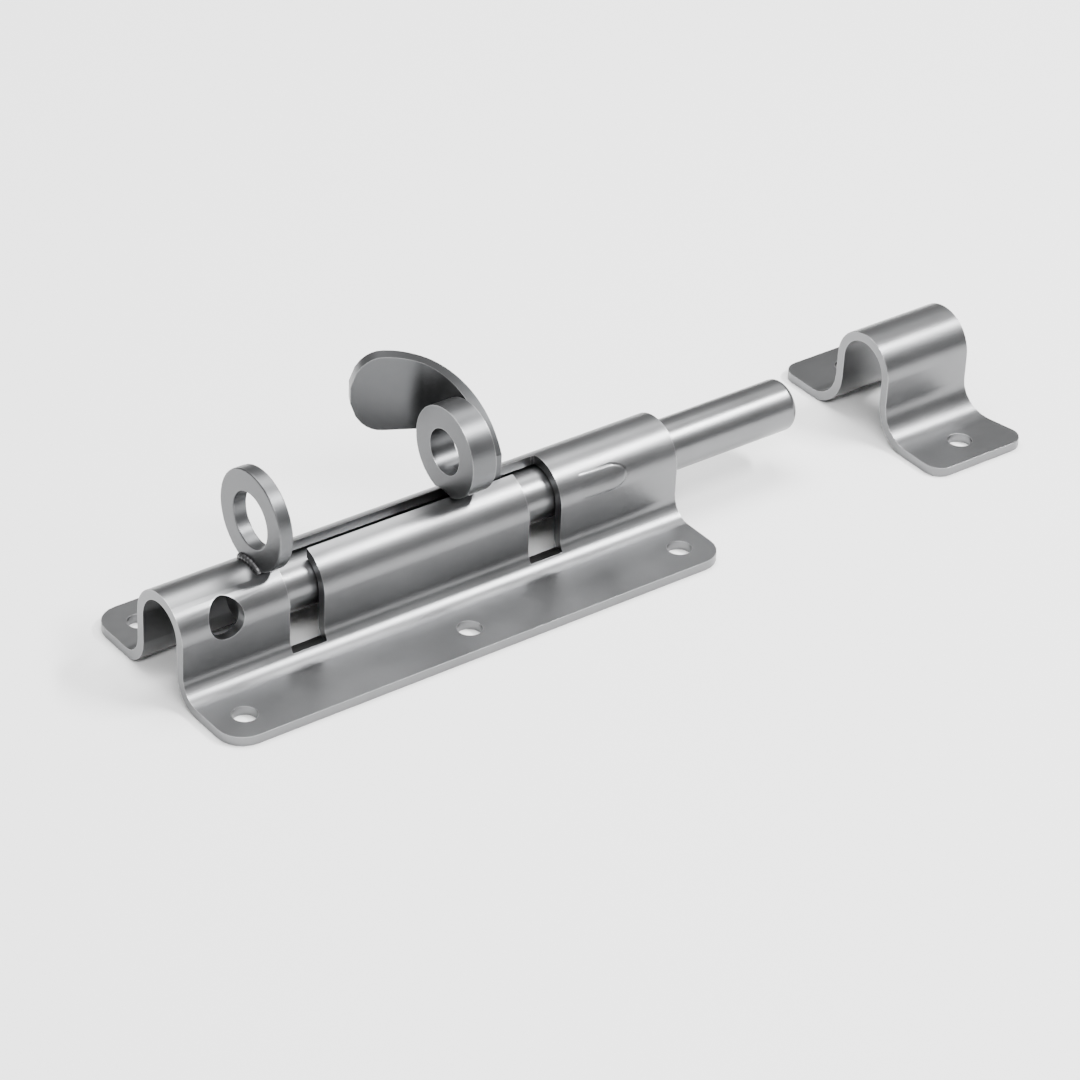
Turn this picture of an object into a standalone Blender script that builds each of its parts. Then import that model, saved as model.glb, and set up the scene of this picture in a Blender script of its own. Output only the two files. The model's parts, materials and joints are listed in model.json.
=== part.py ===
"""Pressed-steel barrel bolt with an upright handle, two padlock eyes and a keeper.

Run with: blender --background --python part.py
Metres, +Z up. X runs along the rod, the origin is under the middle of the whole set, on the
mounting plane. At rest the rod stands part way out towards the keeper.
"""
import math

import bmesh
import bpy
from mathutils import Matrix, Vector

MM = 0.001

# Driving dimensions, in millimetres from the housing's tail end and from the rod's axis.
ROD_RADIUS = 6.0
ROD_TAIL_X = 19.0
ROD_TIP_X = 163.6
ROD_TIP_ROUND = 1.5
ROD_TAIL_CHAMFER = 0.8
SHEET = 2.2
HOUSING_LENGTH = 127.0
PLATE_WIDTH = 55.0
CORNER_RADIUS = 6.0
KEEPER_CORNER_RADIUS = 4.0
AXIS_HEIGHT = 14.2
GAP = 0.3

# The arch that the rod slides in, and the flare where its walls meet the flanges.
ARCH_RADIUS = 8.6
FLARE_RADIUS = 5.0
KEEPER_ARCH_RADIUS = 8.7
KEEPER_ARCH_RISE = 1.4
KEEPER_FLARE_RADIUS = 7.5
KEEPER_START_X = 187.5
KEEPER_LENGTH = 27.0
KEEPER_SCREW_Y = 19.8
KEEPER_WAIST = 3.0

# Openings in the housing.
SCREW_X = (7.5, 63.5, 119.5)
SCREW_Y = 20.0
SCREW_RADIUS = 2.75
SLOT_WIDTH = 3.8
NOTCH_WIDTH = 8.5
NOTCH_X = (26.0, 87.0)
NOTCH_BOTTOM_Z = -10.2
# The slot stops just inside the outer edges of the two notches, and the notches just inside its side.
SLOT_INSET_X = 0.8
NOTCH_INSET_Y = 0.1
PIN_HOLE_X = 11.0
PIN_HOLE_Z = 2.8
PIN_HOLE_RADIUS = 4.2

# Padlock eyes: flat rings across the rod's direction.
FIXED_EYE_RADIUS = 11.2
FIXED_EYE_HOLE_RADIUS = 6.2
FIXED_EYE_THICKNESS = 3.2
HANDLE_EYE_RADIUS = 10.3
HANDLE_EYE_HOLE_RADIUS = 5.2
HANDLE_EYE_THICKNESS = 6.0
EYE_CENTRE_Z = 18.6
EYE_SLIDE_GAP = 0.6
WEB_THICKNESS = 2.6
WEB_TOP_Z = 13.5
FIXED_EYE_X = 21.8
HANDLE_EYE_X = 70.3

# Handle: one plate, upright on the rod and swept round towards the far side and the tail.
HANDLE_STEM_TOP_Z = 12.0
HANDLE_THICKNESS = 3.0
HANDLE_FACE_X = 82.8
HANDLE_STEM_WIDTH = 3.0
HANDLE_BEND_START = 3.0
HANDLE_BEND_RADIUS = 16.0
HANDLE_BEND_DEG = 62.0
HANDLE_REACH = 35.0
HANDLE_COLUMNS = 30
HANDLE_FOOT_Z = 9.4
HANDLE_UNDERCUT = 6.5
HANDLE_SHOULDER_Z = 14.0
HANDLE_TOP_Z = 33.8
HANDLE_TIP_END = 0.995
# Shares of the reach where the lower edge has risen, the upper edge peaks and the tip starts.
HANDLE_LEVEL_AT = 0.3
HANDLE_CREST_AT = 0.8
HANDLE_TIP_AT = 0.8
HANDLE_RISE_POWER = 0.8

ARC_STEPS = 12
ROUND_SEGMENTS = 40
HOLE_SEGMENTS = 28
SEAT_SEGMENTS = 64
OVERRUN = 1.0
SET_LENGTH = KEEPER_START_X + KEEPER_LENGTH


def clear_scene():
    for old in list(bpy.data.objects):
        bpy.data.objects.remove(old, do_unlink=True)


def world(x, y, z):
    """Turn millimetres from the tail end and the rod's axis into metres in the part's frame."""
    return Vector((x - SET_LENGTH / 2, y, z + AXIS_HEIGHT)) * MM


def make_material(name, colour, roughness):
    material = bpy.data.materials.new(name)
    material.use_nodes = True
    shader = material.node_tree.nodes["Principled BSDF"]
    shader.inputs["Base Color"].default_value = (*colour, 1.0)
    shader.inputs["Roughness"].default_value = roughness
    shader.inputs["Metallic"].default_value = 1.0
    return material


def add_object(name, mesh, material=None, smooth_deg=35):
    piece = bpy.data.objects.new(name, mesh)
    bpy.context.collection.objects.link(piece)
    if material:
        mesh.materials.append(material)
        mesh.shade_smooth()
        mesh.set_sharp_from_angle(angle=math.radians(smooth_deg))
    return piece


def mesh_from_bmesh(name, shape):
    bmesh.ops.recalc_face_normals(shape, faces=shape.faces)
    mesh = bpy.data.meshes.new(name)
    shape.to_mesh(mesh)
    shape.free()
    return mesh


def arc(centre, radius, start_deg, end_deg, steps=ARC_STEPS):
    """Points along a circular arc, as (first axis, second axis) pairs."""
    points = []
    for step in range(steps + 1):
        angle = math.radians(start_deg + (end_deg - start_deg) * step / steps)
        points.append((centre[0] + radius * math.cos(angle), centre[1] + radius * math.sin(angle)))
    return points


def prism(name, corners, direction):
    """Closed prism from a ring of points, swept along a direction."""
    shape = bmesh.new()
    face = shape.faces.new([shape.verts.new(corner) for corner in corners])
    swept = bmesh.ops.extrude_face_region(shape, geom=[face])
    moved = [item for item in swept["geom"] if isinstance(item, bmesh.types.BMVert)]
    bmesh.ops.translate(shape, vec=direction, verts=moved)
    return mesh_from_bmesh(name, shape)


def block(name, low, high):
    """Closed box between two corners given in millimetres."""
    corners = [world(low[0], y, z) for y, z in
               ((low[1], low[2]), (high[1], low[2]), (high[1], high[2]), (low[1], high[2]))]
    return prism(name, corners, Vector(((high[0] - low[0]) * MM, 0, 0)))


def cylinder(name, radius, length, centre, axis, segments=ROUND_SEGMENTS):
    """Closed cylinder about a world axis, centred on a point given in millimetres."""
    turn = Vector((0, 0, 1)).rotation_difference(Vector(axis)).to_matrix().to_4x4()
    shape = bmesh.new()
    bmesh.ops.create_cone(shape, cap_ends=True, segments=segments, radius1=radius * MM,
                          radius2=radius * MM, depth=length * MM,
                          matrix=Matrix.Translation(world(*centre)) @ turn)
    return mesh_from_bmesh(name, shape)


def put_origin(piece, x):
    """Move a moving piece's origin onto the rod's axis without moving its mesh."""
    origin = world(x, 0, 0)
    piece.data.transform(Matrix.Translation(-origin))
    piece.location = origin


def cut(piece, tool_mesh, operation="DIFFERENCE"):
    """Add a Boolean with a hidden cutter object."""
    tool = add_object(tool_mesh.name, tool_mesh)
    tool.hide_render = True
    tool.display_type = "WIRE"
    boolean = piece.modifiers.new(tool_mesh.name, "BOOLEAN")
    boolean.operation = operation
    boolean.solver = "EXACT"
    boolean.object = tool


def hat_section(arch_radius, arch_rise, flare_radius, half_width):
    """Outline of the pressed sheet, seen along X: flange, flare, arch, flare, flange."""
    top = -AXIS_HEIGHT + SHEET
    flare_y = arch_radius + flare_radius
    flare_z = top + flare_radius
    inner = arch_radius - SHEET
    outside = [(-half_width, top)]
    outside += arc((-flare_y, flare_z), flare_radius, -90, 0, ARC_STEPS // 2)
    outside += arc((0, arch_rise), arch_radius, 180, 0, ARC_STEPS * 2)
    outside += arc((flare_y, flare_z), flare_radius, 180, 270, ARC_STEPS // 2)
    outside += [(half_width, top)]
    inside = [(half_width, top - SHEET)]
    inside += arc((flare_y, flare_z), flare_radius + SHEET, 270, 180, ARC_STEPS // 2)
    inside += arc((0, arch_rise), inner, 0, 180, ARC_STEPS * 2)
    inside += arc((-flare_y, flare_z), flare_radius + SHEET, 0, -90, ARC_STEPS // 2)
    inside += [(-half_width, top - SHEET)]
    return outside + inside


def rounded_blank(name, start_x, length, half_width, radius):
    """Tall prism with rounded corners, seen from above, that trims a pressed plate."""
    low = (start_x + radius, -half_width + radius)
    high = (start_x + length - radius, half_width - radius)
    outline = []
    for centre, start in (((high[0], high[1]), 0), ((low[0], high[1]), 90),
                          ((low[0], low[1]), 180), ((high[0], low[1]), 270)):
        outline += arc(centre, radius, start, start + 90, ARC_STEPS // 2)
    corners = [world(x, y, -2 * AXIS_HEIGHT) for x, y in outline]
    return prism(name, corners, Vector((0, 0, 4 * AXIS_HEIGHT * MM)))


def pressed_plate(name, span, arch, flare_radius, corner_radius, material):
    """Hat-section plate along X: span is (start, length) and arch is (radius, rise)."""
    half_width = PLATE_WIDTH / 2
    section = hat_section(*arch, flare_radius, half_width + OVERRUN)
    corners = [world(span[0] - OVERRUN, y, z) for y, z in section]
    sweep = Vector(((span[1] + 2 * OVERRUN) * MM, 0, 0))
    plate = add_object(name, prism(name, corners, sweep), material)
    cut(plate, rounded_blank(name + "_blank", *span, half_width, corner_radius), "INTERSECT")
    return plate


def screw_hole(plate, label, x, y):
    name = plate.name + "_screw_hole_" + label
    centre = (x, y, -AXIS_HEIGHT + SHEET / 2)
    cut(plate, cylinder(name, SCREW_RADIUS, 4 * SHEET, centre, (0, 0, 1), HOLE_SEGMENTS))


def make_housing(material):
    housing = pressed_plate("housing", (0, HOUSING_LENGTH), (ARCH_RADIUS, 0), FLARE_RADIUS,
                            CORNER_RADIUS, material)
    half_slot = SLOT_WIDTH / 2
    above = ARCH_RADIUS + OVERRUN
    slot_low = (NOTCH_X[0] + SLOT_INSET_X, -half_slot, 0)
    slot_high = (NOTCH_X[1] + NOTCH_WIDTH - SLOT_INSET_X, half_slot, above)
    cut(housing, block("handle_slot", slot_low, slot_high))
    for index, start in enumerate(NOTCH_X):
        low = (start, -FLARE_RADIUS - ARCH_RADIUS, NOTCH_BOTTOM_Z)
        high = (start + NOTCH_WIDTH, half_slot - NOTCH_INSET_Y, above)
        cut(housing, block(f"notch_{index + 1}", low, high))
    cut(housing, cylinder("cross_pin_hole", PIN_HOLE_RADIUS, 4 * ARCH_RADIUS,
                          (PIN_HOLE_X, 0, PIN_HOLE_Z), (0, 1, 0)))
    for column, x in enumerate(SCREW_X):
        screw_hole(housing, f"near_{column + 1}", x, -SCREW_Y)
        screw_hole(housing, f"far_{column + 1}", x, SCREW_Y)
    return housing


def waist_blank(name):
    """Tall prism that trims the keeper's far end back at the arch, slanting out to the corners."""
    end = KEEPER_START_X + KEEPER_LENGTH
    corner_y = PLATE_WIDTH / 2 - KEEPER_CORNER_RADIUS
    outline = [(end + OVERRUN, -corner_y), (end, -corner_y), (end - KEEPER_WAIST, -KEEPER_ARCH_RADIUS),
               (end - KEEPER_WAIST, KEEPER_ARCH_RADIUS), (end, corner_y), (end + OVERRUN, corner_y)]
    corners = [world(x, y, -2 * AXIS_HEIGHT) for x, y in outline]
    return prism(name, corners, Vector((0, 0, 4 * AXIS_HEIGHT * MM)))


def make_keeper(material):
    keeper = pressed_plate("keeper", (KEEPER_START_X, KEEPER_LENGTH),
                           (KEEPER_ARCH_RADIUS, KEEPER_ARCH_RISE), KEEPER_FLARE_RADIUS,
                           KEEPER_CORNER_RADIUS, material)
    cut(keeper, waist_blank("keeper_waist"))
    middle = KEEPER_START_X + KEEPER_LENGTH / 2
    screw_hole(keeper, "near", middle, -KEEPER_SCREW_Y)
    screw_hole(keeper, "far", middle, KEEPER_SCREW_Y)
    return keeper


def make_rod(material):
    """Turned rod with a rounded nose and a small chamfer on the tail."""
    nose = ROD_RADIUS - ROD_TIP_ROUND
    profile = [(ROD_TAIL_X, 0.0), (ROD_TAIL_X, ROD_RADIUS - ROD_TAIL_CHAMFER),
               (ROD_TAIL_X + ROD_TAIL_CHAMFER, ROD_RADIUS)]
    rounded = arc((ROD_TIP_X - ROD_TIP_ROUND, nose), ROD_TIP_ROUND, 90, 0, 5)
    profile += rounded + [(ROD_TIP_X, 0.0)]
    shape = bmesh.new()
    verts = [shape.verts.new(Vector((x, 0, radius)) * MM) for x, radius in profile]
    edges = [shape.edges.new(pair) for pair in zip(verts, verts[1:])]
    bmesh.ops.spin(shape, geom=verts + edges, cent=(0, 0, 0), axis=(1, 0, 0), dvec=(0, 0, 0),
                   angle=2 * math.pi, steps=ROUND_SEGMENTS, use_merge=True)
    bmesh.ops.remove_doubles(shape, verts=shape.verts, dist=1e-6)
    rod = add_object("bolt_rod", mesh_from_bmesh("bolt_rod", shape), material)
    rod.location = world(0, 0, 0)
    return rod


def make_eye(name, face_x, radius, hole_radius, thickness, material):
    """Flat padlock ring across X."""
    centre = (face_x + thickness / 2, 0, EYE_CENTRE_Z)
    eye = add_object(name, cylinder(name, radius, thickness, centre, (1, 0, 0)), material)
    cut(eye, cylinder(name + "_hole", hole_radius, 3 * thickness, centre, (1, 0, 0)))
    return eye


def hollow_foot(piece, x, gap):
    """Cut the foot of a piece to follow the housing's arch."""
    seat = cylinder(piece.name + "_seat", ARCH_RADIUS + gap, 2 * HANDLE_REACH, (x, 0, 0), (1, 0, 0),
                    SEAT_SEGMENTS)
    cut(piece, seat)


def make_fixed_eye(material):
    eye = make_eye("fixed_eye", FIXED_EYE_X, FIXED_EYE_RADIUS, FIXED_EYE_HOLE_RADIUS,
                   FIXED_EYE_THICKNESS, material)
    hollow_foot(eye, FIXED_EYE_X, GAP)
    return eye


def make_handle_eye(material):
    """Thick ring in front of the handle, on a low web that reaches back to the handle's stem."""
    eye = make_eye("handle_eye", HANDLE_EYE_X, HANDLE_EYE_RADIUS, HANDLE_EYE_HOLE_RADIUS,
                   HANDLE_EYE_THICKNESS, material)
    half = WEB_THICKNESS / 2
    stem_face = HANDLE_FACE_X - HANDLE_THICKNESS / 2 - GAP
    low = (HANDLE_EYE_X + HANDLE_EYE_THICKNESS / 2, -half, ARCH_RADIUS)
    cut(eye, block("eye_web", low, (stem_face, half, WEB_TOP_Z)), "UNION")
    hollow_foot(eye, HANDLE_EYE_X, EYE_SLIDE_GAP)
    put_origin(eye, HANDLE_EYE_X)
    return eye


def handle_path(reach):
    """Plan position and sideways direction at a distance along the swept handle plate."""
    bend_length = HANDLE_BEND_RADIUS * math.radians(HANDLE_BEND_DEG)
    start_y = -HANDLE_STEM_WIDTH / 2
    turned = min(max(reach - HANDLE_BEND_START, 0.0), bend_length) / HANDLE_BEND_RADIUS
    straight = min(reach, HANDLE_BEND_START)
    beyond = max(reach - HANDLE_BEND_START - bend_length, 0.0)
    along = (-math.sin(turned), math.cos(turned))
    x = HANDLE_FACE_X - HANDLE_BEND_RADIUS * (1 - math.cos(turned)) + beyond * along[0]
    y = start_y + straight + HANDLE_BEND_RADIUS * math.sin(turned) + beyond * along[1]
    return (x, y), (along[1], -along[0])


def handle_heights(reach):
    """Lower and upper edge of the handle plate at a distance along it, from the rod's axis."""
    fraction = reach / HANDLE_REACH
    rise = math.sin(math.pi / 2 * min(fraction / HANDLE_CREST_AT, 1.0)) ** HANDLE_RISE_POWER
    upper = HANDLE_SHOULDER_Z + (HANDLE_TOP_Z - HANDLE_SHOULDER_Z) * rise
    lower = HANDLE_FOOT_Z + HANDLE_UNDERCUT * min(fraction / HANDLE_LEVEL_AT, 1.0)
    tip = max(0.0, (fraction - HANDLE_TIP_AT) / (1 - HANDLE_TIP_AT))
    round_off = 1 - math.sqrt(max(0.0, 1 - tip * tip))
    middle = (upper + lower) / 2
    return lower + (middle - lower) * round_off, upper + (middle - upper) * round_off


def make_handle(material):
    """Swept plate: one column of four points at each step along its length."""
    shape = bmesh.new()
    rings = []
    for column in range(HANDLE_COLUMNS + 1):
        reach = HANDLE_TIP_END * HANDLE_REACH * column / HANDLE_COLUMNS
        (x, y), side = handle_path(reach)
        low, high = handle_heights(reach)
        half = HANDLE_THICKNESS / 2
        ring = []
        for offset, z in ((-half, low), (half, low), (half, high), (-half, high)):
            ring.append(shape.verts.new(world(x + side[0] * offset, y + side[1] * offset, z)))
        rings.append(ring)
    for first, second in zip(rings, rings[1:]):
        for corner in range(4):
            follow = (corner + 1) % 4
            shape.faces.new((first[corner], first[follow], second[follow], second[corner]))
    shape.faces.new(rings[0][::-1])
    shape.faces.new(rings[-1])
    handle = add_object("handle", mesh_from_bmesh("handle", shape), material)
    half = HANDLE_STEM_WIDTH / 2
    low = (HANDLE_FACE_X - HANDLE_THICKNESS / 2, -half, ROD_RADIUS - OVERRUN)
    high = (HANDLE_FACE_X + HANDLE_THICKNESS / 2, half, HANDLE_STEM_TOP_Z)
    cut(handle, block("handle_stem", low, high), "UNION")
    cut(handle, cylinder("rod_clearance", ROD_RADIUS + GAP, HANDLE_REACH, (HANDLE_FACE_X, 0, 0),
                         (1, 0, 0), SEAT_SEGMENTS))
    put_origin(handle, HANDLE_FACE_X)
    return handle


def build():
    clear_scene()
    zinc = make_material("pressed_zinc_steel", (0.52, 0.53, 0.54), 0.42)
    keeper_zinc = make_material("keeper_zinc_steel", (0.53, 0.54, 0.55), 0.42)
    rod_steel = make_material("rod_steel", (0.50, 0.51, 0.52), 0.38)
    handle_steel = make_material("handle_steel", (0.46, 0.47, 0.48), 0.45)
    eye_steel = make_material("eye_steel", (0.46, 0.47, 0.48), 0.45)
    loop_steel = make_material("handle_eye_steel", (0.46, 0.47, 0.48), 0.45)
    make_housing(zinc)
    make_keeper(keeper_zinc)
    make_rod(rod_steel)
    make_fixed_eye(eye_steel)
    make_handle_eye(loop_steel)
    make_handle(handle_steel)


build()
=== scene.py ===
"""Looks of the barrel bolt: finished steel pieces, welds, a studio and the camera."""
import json
import math

import bmesh
import bpy
from mathutils import Euler, Matrix, Vector

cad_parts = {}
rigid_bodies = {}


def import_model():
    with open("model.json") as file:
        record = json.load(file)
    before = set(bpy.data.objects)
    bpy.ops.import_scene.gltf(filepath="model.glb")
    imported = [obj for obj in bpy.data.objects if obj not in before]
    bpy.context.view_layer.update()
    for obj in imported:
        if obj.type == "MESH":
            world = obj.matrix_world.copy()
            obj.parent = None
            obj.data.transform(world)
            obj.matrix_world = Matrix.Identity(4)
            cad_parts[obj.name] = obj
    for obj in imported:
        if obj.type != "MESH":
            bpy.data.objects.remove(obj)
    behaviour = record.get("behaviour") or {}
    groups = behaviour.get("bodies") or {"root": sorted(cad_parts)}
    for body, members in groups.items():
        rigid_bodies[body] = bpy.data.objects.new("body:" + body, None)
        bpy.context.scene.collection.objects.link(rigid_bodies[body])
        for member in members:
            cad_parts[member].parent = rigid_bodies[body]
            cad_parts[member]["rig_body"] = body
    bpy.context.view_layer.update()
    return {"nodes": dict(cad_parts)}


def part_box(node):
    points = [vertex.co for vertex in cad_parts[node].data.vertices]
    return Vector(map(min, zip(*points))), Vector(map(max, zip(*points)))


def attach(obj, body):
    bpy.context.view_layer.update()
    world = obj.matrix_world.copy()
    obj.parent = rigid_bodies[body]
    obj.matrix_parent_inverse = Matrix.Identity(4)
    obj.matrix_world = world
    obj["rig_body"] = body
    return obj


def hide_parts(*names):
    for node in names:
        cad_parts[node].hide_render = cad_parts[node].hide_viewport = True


MM = 0.001
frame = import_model()

# Where the main features are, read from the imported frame.
HOUSING_LOW, HOUSING_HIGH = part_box("housing")
ROD_LOW, ROD_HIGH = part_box("bolt_rod")
FIXED_EYE_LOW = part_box("fixed_eye")[0]
WEB_END_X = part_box("handle_eye")[1].x
STEM_BACK_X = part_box("handle")[1].x
AXIS_Z = (ROD_LOW.z + ROD_HIGH.z) / 2
ROD_RADIUS = (ROD_HIGH.z - ROD_LOW.z) / 2
ARCH_RADIUS = HOUSING_HIGH.z - AXIS_Z

# Finished pieces: node, material slot, edge radius in millimetres and steel.
PIECES = (
    ("housing", "pressed_steel", 0.35, "sheet"),
    ("keeper", "pressed_steel", 0.35, "sheet"),
    ("bolt_rod", "rod_steel", 0.0, "bar"),
    ("handle", "handle_steel", 0.55, "plate"),
    ("handle_eye", "handle_steel", 0.45, "plate"),
    ("fixed_eye", "handle_steel", 0.45, "plate"),
)
WELD_DISTANCE = 0.002 * MM
FLAT_DEG = 0.6
BEVEL_SEGMENTS = 3
BEVEL_FROM_DEG = 35
SMOOTH_DEG = 38

# Steel finish, at real scale.
EDGE_WEAR_WIDTH = 0.4 * MM
EDGE_WEAR_STRENGTH = 0.16
PIT_SCALE = 2600.0
PIT_STRENGTH = 0.10
PIT_DEPTH = 0.03 * MM
GRAIN_DEPTH = 0.04 * MM

# Weld beads.
BEAD_SIDES = 10
BEAD_END_FADE = 0.12
BEAD_END_RISE = 8
BEAD_RIPPLE = 0.10
BEAD_RIPPLE_STEP = 1.9
BEAD_SMOOTH_DEG = 60
EYE_WELD_RADIUS = 0.9 * MM
EYE_WELD_HALF_DEG = 27
STEM_THICKNESS = 3.0 * MM
STEM_WELD_RADIUS = 0.55 * MM
STEM_WELD_HALF_Y = 1.2 * MM
WEB_WELD_RADIUS = 0.5 * MM
WEB_WELD_Y = 1.35 * MM
WEB_WELD_HEIGHTS = (9.9 * MM, 13.2 * MM)

# Shallow pressed boss on the near wall, measured from the housing's tail end.
BOSS_SPAN_X = (99.0 * MM, 113.5 * MM)
BOSS_SPAN_DEG = (46, 88)
BOSS_HEIGHT = 0.95 * MM
BOSS_SINK = 0.10 * MM
BOSS_THICKNESS = 0.5 * MM
BOSS_COLUMNS = 36
BOSS_ROWS = 18
BOSS_NOSE_AT = 0.62
BOSS_RISEN_AT = 0.75
BOSS_SMOOTH_DEG = 50

# Studio: light name, place, size and power.
LIGHTS = (
    ("strip", (0.62, -0.41, 0.95), (0.5, 0.09), 22.0),
    ("key", (-0.30, -0.75, 0.95), (0.9, 0.30), 15.0),
    ("top", (0.15, 0.35, 1.1), (0.9, 0.6), 20.0),
)
ROOM_GREYS = ((0.0, 0.35), (0.35, 0.50), (1.0, 0.85))
ROOM_STRENGTH = 1.05
FLOOR_HALF_SIZE = 6.0
FLOOR_DROP = 0.05 * MM

# Camera of the reference view.
CAMERA_PLACE = (-0.4560, -0.5671, 0.4687)
CAMERA_TURN_DEG = (57.03, -2.26, -36.69)
CAMERA_LENS_MM = 132.0


# Materials

def node(tree, kind, **settings):
    made = tree.nodes.new(kind)
    for name, value in settings.items():
        setattr(made, name, value)
    return made


def noise(tree, coordinates, scale, stretch=(1, 1, 1), detail=4.0, roughness=0.55):
    """Noise in object space, stretched by scaling its coordinates."""
    mapping = node(tree, "ShaderNodeMapping")
    mapping.inputs["Scale"].default_value = stretch
    tree.links.new(coordinates, mapping.inputs["Vector"])
    texture = node(tree, "ShaderNodeTexNoise")
    texture.inputs["Scale"].default_value = scale
    texture.inputs["Detail"].default_value = detail
    texture.inputs["Roughness"].default_value = roughness
    tree.links.new(mapping.outputs["Vector"], texture.inputs["Vector"])
    return texture.outputs["Fac"]


def ramp(tree, source, stops):
    """Colour ramp over a value, with stops of (position, colour)."""
    made = node(tree, "ShaderNodeValToRGB")
    made.color_ramp.elements[0].position = stops[0][0]
    made.color_ramp.elements[1].position = stops[-1][0]
    for position, _ in stops[1:-1]:
        made.color_ramp.elements.new(position)
    for element, (_, colour) in zip(made.color_ramp.elements, stops):
        element.color = (*colour, 1)
    tree.links.new(source, made.inputs["Fac"])
    return made.outputs["Color"]


def grey_ramp(tree, source, stops):
    return ramp(tree, source, [(position, (grey, grey, grey)) for position, grey in stops])


def mix_colours(tree, blend_type, factor, first, second):
    """A mix node has sockets for every data type; 0, 6 and 7 in and 2 out are the colour's."""
    made = node(tree, "ShaderNodeMix", data_type="RGBA", blend_type=blend_type)
    made.inputs[0].default_value = factor
    tree.links.new(first, made.inputs[6])
    tree.links.new(second, made.inputs[7])
    return made.outputs[2]


def bump(tree, height, strength, distance, normal=None):
    made = node(tree, "ShaderNodeBump")
    made.inputs["Strength"].default_value = strength
    made.inputs["Distance"].default_value = distance
    tree.links.new(height, made.inputs["Height"])
    if normal:
        tree.links.new(normal, made.inputs["Normal"])
    return made.outputs["Normal"]


def edge_mask(tree):
    """White where the surface turns sharply within the wear width."""
    surface = node(tree, "ShaderNodeNewGeometry")
    rounded = node(tree, "ShaderNodeBevel", samples=4)
    rounded.inputs["Radius"].default_value = EDGE_WEAR_WIDTH
    agreement = node(tree, "ShaderNodeVectorMath", operation="DOT_PRODUCT")
    tree.links.new(surface.outputs["Normal"], agreement.inputs[0])
    tree.links.new(rounded.outputs["Normal"], agreement.inputs[1])
    return grey_ramp(tree, agreement.outputs["Value"], [(0.90, 1.0), (0.99, 0.0)])


def steel(name, tone, roughness, grain, grain_strength, cloud_scale):
    """Satin steel: cloudy tone, drawn grain, fine pits and brighter rubbed edges."""
    material = bpy.data.materials.new(name)
    material.use_nodes = True
    tree = material.node_tree
    shader = tree.nodes["Principled BSDF"]
    shader.inputs["Metallic"].default_value = 1.0
    coordinates = node(tree, "ShaderNodeTexCoord").outputs["Object"]
    clouds = noise(tree, coordinates, cloud_scale, detail=6.0)
    lines = noise(tree, coordinates, 1.0, stretch=grain, detail=3.0, roughness=0.6)
    pits = noise(tree, coordinates, PIT_SCALE, detail=2.0)

    dark = [channel * 0.90 for channel in tone]
    light = [channel * 1.08 for channel in tone]
    tint = ramp(tree, clouds, [(0.30, dark), (0.52, tone), (0.75, light)])
    worn = mix_colours(tree, "SCREEN", EDGE_WEAR_STRENGTH, tint, edge_mask(tree))
    tree.links.new(worn, shader.inputs["Base Color"])

    gloss = mix_colours(tree, "MIX", 0.5, clouds, lines)
    rough = grey_ramp(tree, gloss, [(0.30, roughness * 0.90), (0.70, roughness * 1.12)])
    tree.links.new(rough, shader.inputs["Roughness"])

    pitted = bump(tree, pits, PIT_STRENGTH, PIT_DEPTH)
    grained = bump(tree, lines, grain_strength, GRAIN_DEPTH, pitted)
    tree.links.new(grained, shader.inputs["Normal"])
    return material


def make_materials():
    return {
        # Rolled sheet: faint grain along the rod's direction.
        "sheet": steel("satin_sheet", (0.175, 0.177, 0.180), 0.32, (260, 2600, 2600), 0.04, 46.0),
        # Drawn bar: finer, longer grain.
        "bar": steel("drawn_bar", (0.180, 0.182, 0.185), 0.30, (120, 3600, 3600), 0.04, 60.0),
        # Tumbled plate: no direction. Its tone is set darker than the sheet's as painted shade on
        # the eye and handle faces turned away from the lights.
        "plate": steel("tumbled_plate_painted_shade", (0.110, 0.112, 0.115), 0.36, (1500, 1500, 1500), 0.10, 70.0),
        "weld": steel("weld_metal", (0.095, 0.095, 0.097), 0.36, (1800, 1800, 1800), 0.30, 160.0),
    }


# Meshes

def new_piece(name, shape, material):
    """Object from a bmesh, which is freed, with one material."""
    mesh = bpy.data.meshes.new(name)
    shape.to_mesh(mesh)
    shape.free()
    piece = bpy.data.objects.new(name, mesh)
    bpy.context.scene.collection.objects.link(piece)
    mesh.materials.clear()
    mesh.materials.append(material)
    return piece


def shade(piece, angle_deg):
    piece.data.shade_smooth()
    piece.data.set_sharp_from_angle(angle=math.radians(angle_deg))


def apply_modifiers(piece):
    graph = bpy.context.evaluated_depsgraph_get()
    made = bpy.data.meshes.new_from_object(piece.evaluated_get(graph))
    piece.modifiers.clear()
    piece.data = made


def skin_rows(shape, rows, closed=False):
    """Quads between neighbouring rows of vertices."""
    for first, second in zip(rows, rows[1:]):
        for index in range(len(first) if closed else len(first) - 1):
            follow = (index + 1) % len(first)
            shape.faces.new((first[index], first[follow], second[follow], second[index]))


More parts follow.
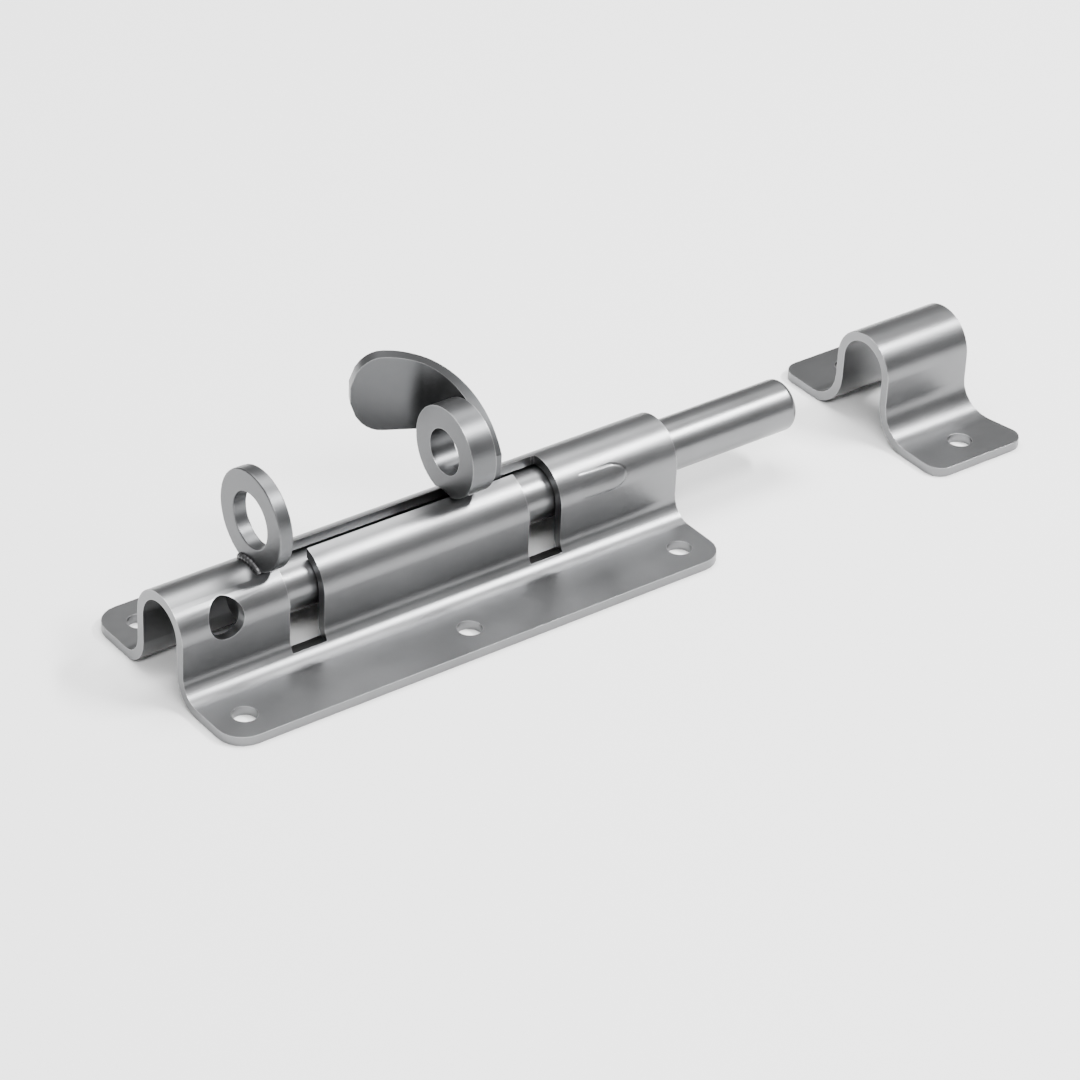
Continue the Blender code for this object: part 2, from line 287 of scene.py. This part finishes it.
def finish_piece(cad_name, edge_radius, material):
    """Finished piece in place of a CAD node: the same shape with small rounded edges."""
    cad_object = frame["nodes"][cad_name]
    shape = bmesh.new()
    shape.from_mesh(cad_object.data)
    bmesh.ops.remove_doubles(shape, verts=shape.verts, dist=WELD_DISTANCE)
    bmesh.ops.dissolve_limit(shape, angle_limit=math.radians(FLAT_DEG), verts=shape.verts,
                             edges=shape.edges, use_dissolve_boundaries=False)
    piece = new_piece(cad_name + "_finished", shape, material)
    if edge_radius:
        bevel = piece.modifiers.new("edge", "BEVEL")
        bevel.width = edge_radius * MM
        bevel.segments = BEVEL_SEGMENTS
        bevel.limit_method = "ANGLE"
        bevel.angle_limit = math.radians(BEVEL_FROM_DEG)
        bevel.use_clamp_overlap = True
    even = piece.modifiers.new("even", "WEIGHTED_NORMAL")
    even.keep_sharp = True
    shade(piece, SMOOTH_DEG)
    apply_modifiers(piece)
    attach(piece, cad_object["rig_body"])
    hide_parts(cad_name)


# Weld beads

def bead_ring(shape, path, index, radius):
    """Ring of vertices round one point of a bead, rippled, and drawn in near the ends."""
    last = len(path) - 1
    ahead = path[min(index + 1, last)] - path[max(index - 1, 0)]
    turn = ahead.to_track_quat("Z", "Y").to_matrix()
    end = min(index, last - index) / last
    fade = math.sqrt(min(1.0, end * BEAD_END_RISE + BEAD_END_FADE))
    ripple = 1.0 + BEAD_RIPPLE * math.sin(index * BEAD_RIPPLE_STEP)
    ring = []
    for side in range(BEAD_SIDES):
        angle = 2 * math.pi * side / BEAD_SIDES
        offset = Vector((math.cos(angle), math.sin(angle), 0)) * (radius * fade * ripple)
        ring.append(shape.verts.new(path[index] + turn @ offset))
    return ring


def bead(name, path, radius, body, material):
    """Rippled weld bead swept along a path of points."""
    shape = bmesh.new()
    rings = [bead_ring(shape, path, index, radius) for index in range(len(path))]
    skin_rows(shape, rings, closed=True)
    shape.faces.new(rings[0][::-1])
    shape.faces.new(rings[-1])
    bmesh.ops.recalc_face_normals(shape, faces=shape.faces)
    piece = new_piece(name, shape, material)
    shade(piece, BEAD_SMOOTH_DEG)
    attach(piece, body)


def arch_path(x, radius, half_angle_deg, steps):
    """Points over the arch at one place along the rod."""
    points = []
    for step in range(steps + 1):
        angle = math.radians(half_angle_deg * (2 * step / steps - 1))
        points.append(Vector((x, radius * math.sin(angle), AXIS_Z + radius * math.cos(angle))))
    return points


def straight_path(start, end, steps):
    return [start.lerp(end, step / steps) for step in range(steps + 1)]


def make_welds(material):
    path = arch_path(FIXED_EYE_LOW.x - 0.15 * MM, ARCH_RADIUS + 0.25 * MM, EYE_WELD_HALF_DEG, 26)
    bead("fixed_eye_weld", path, EYE_WELD_RADIUS, "mounting", material)
    for label, x in (("front", STEM_BACK_X - STEM_THICKNESS), ("back", STEM_BACK_X)):
        near = Vector((x, -STEM_WELD_HALF_Y, AXIS_Z + ROD_RADIUS + 0.1 * MM))
        far = Vector((x, STEM_WELD_HALF_Y, near.z))
        bead("stem_weld_" + label, straight_path(near, far, 10), STEM_WELD_RADIUS, "bolt", material)
    for label, y in (("near", -WEB_WELD_Y), ("far", WEB_WELD_Y)):
        low = Vector((WEB_END_X + 0.15 * MM, y, AXIS_Z + WEB_WELD_HEIGHTS[0]))
        high = Vector((low.x, y, AXIS_Z + WEB_WELD_HEIGHTS[1]))
        bead("web_weld_" + label, straight_path(low, high, 14), WEB_WELD_RADIUS, "bolt", material)


# Pressed boss

def boss_lift(along, across):
    """Height of the boss over the wall: it fades in from the tail and ends in a round nose."""
    beyond = max(0.0, (along - BOSS_NOSE_AT) / (1 - BOSS_NOSE_AT))
    inside = max(0.0, 1 - (2 * across - 1) ** 2 - beyond ** 2)
    rise = min(1.0, along / BOSS_RISEN_AT) ** 1.5 * min(1.0, inside * 3) ** 0.5
    return BOSS_HEIGHT * rise - BOSS_SINK


def make_pressed_boss(material):
    shape = bmesh.new()
    rows = []
    for column in range(BOSS_COLUMNS + 1):
        along = column / BOSS_COLUMNS
        x = HOUSING_LOW.x + BOSS_SPAN_X[0] + (BOSS_SPAN_X[1] - BOSS_SPAN_X[0]) * along
        row = []
        for step in range(BOSS_ROWS + 1):
            across = step / BOSS_ROWS
            angle = math.radians(BOSS_SPAN_DEG[0] + (BOSS_SPAN_DEG[1] - BOSS_SPAN_DEG[0]) * across)
            radius = ARCH_RADIUS + boss_lift(along, across)
            place = (x, -radius * math.sin(angle), AXIS_Z + radius * math.cos(angle))
            row.append(shape.verts.new(place))
        rows.append(row)
    skin_rows(shape, rows)
    bmesh.ops.recalc_face_normals(shape, faces=shape.faces)
    piece = new_piece("pressed_boss", shape, material)
    thick = piece.modifiers.new("thick", "SOLIDIFY")
    thick.thickness = BOSS_THICKNESS
    thick.offset = -1
    apply_modifiers(piece)
    shade(piece, BOSS_SMOOTH_DEG)
    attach(piece, "mounting")


# Studio

def make_light(name, place, size, power):
    light = bpy.data.lights.new(name, "AREA")
    light.shape = "RECTANGLE"
    light.size, light.size_y = size
    light.energy = power
    lamp = bpy.data.objects.new(name, light)
    bpy.context.scene.collection.objects.link(lamp)
    lamp.location = place
    lamp.rotation_euler = Vector(place).to_track_quat("Z", "Y").to_euler()


def make_room():
    """Soft surroundings, brighter overhead than round the horizon."""
    room = bpy.data.worlds.new("studio")
    bpy.context.scene.world = room
    room.use_nodes = True
    tree = room.node_tree
    background = tree.nodes["Background"]
    split = node(tree, "ShaderNodeSeparateXYZ")
    tree.links.new(node(tree, "ShaderNodeTexCoord").outputs["Generated"], split.inputs["Vector"])
    tree.links.new(grey_ramp(tree, split.outputs["Z"], ROOM_GREYS), background.inputs["Color"])
    background.inputs["Strength"].default_value = ROOM_STRENGTH


def make_floor():
    material = bpy.data.materials.new("pale_floor")
    material.use_nodes = True
    shader = material.node_tree.nodes["Principled BSDF"]
    shader.inputs["Base Color"].default_value = (0.93, 0.93, 0.93, 1)
    shader.inputs["Roughness"].default_value = 0.9
    shader.inputs["Specular IOR Level"].default_value = 0.1
    shape = bmesh.new()
    bmesh.ops.create_grid(shape, x_segments=1, y_segments=1, size=FLOOR_HALF_SIZE)
    floor = new_piece("floor", shape, material)
    floor.location.z = -FLOOR_DROP


def make_camera():
    data = bpy.data.cameras.new("camera")
    data.lens = CAMERA_LENS_MM
    data.sensor_width = 36.0
    data.clip_start = 0.01
    camera = bpy.data.objects.new("camera", data)
    bpy.context.scene.collection.objects.link(camera)
    turn = Euler([math.radians(angle) for angle in CAMERA_TURN_DEG])
    camera.matrix_world = Matrix.Translation(CAMERA_PLACE) @ turn.to_matrix().to_4x4()
    bpy.context.scene.camera = camera


make_camera()
make_room()
make_floor()
for light_settings in LIGHTS:
    make_light(*light_settings)
steels = make_materials()
for node_name, slot_name, radius_mm, steel_name in PIECES:
    finish_piece(node_name, radius_mm, steels[steel_name])
make_welds(steels["weld"])
make_pressed_boss(steels["sheet"])
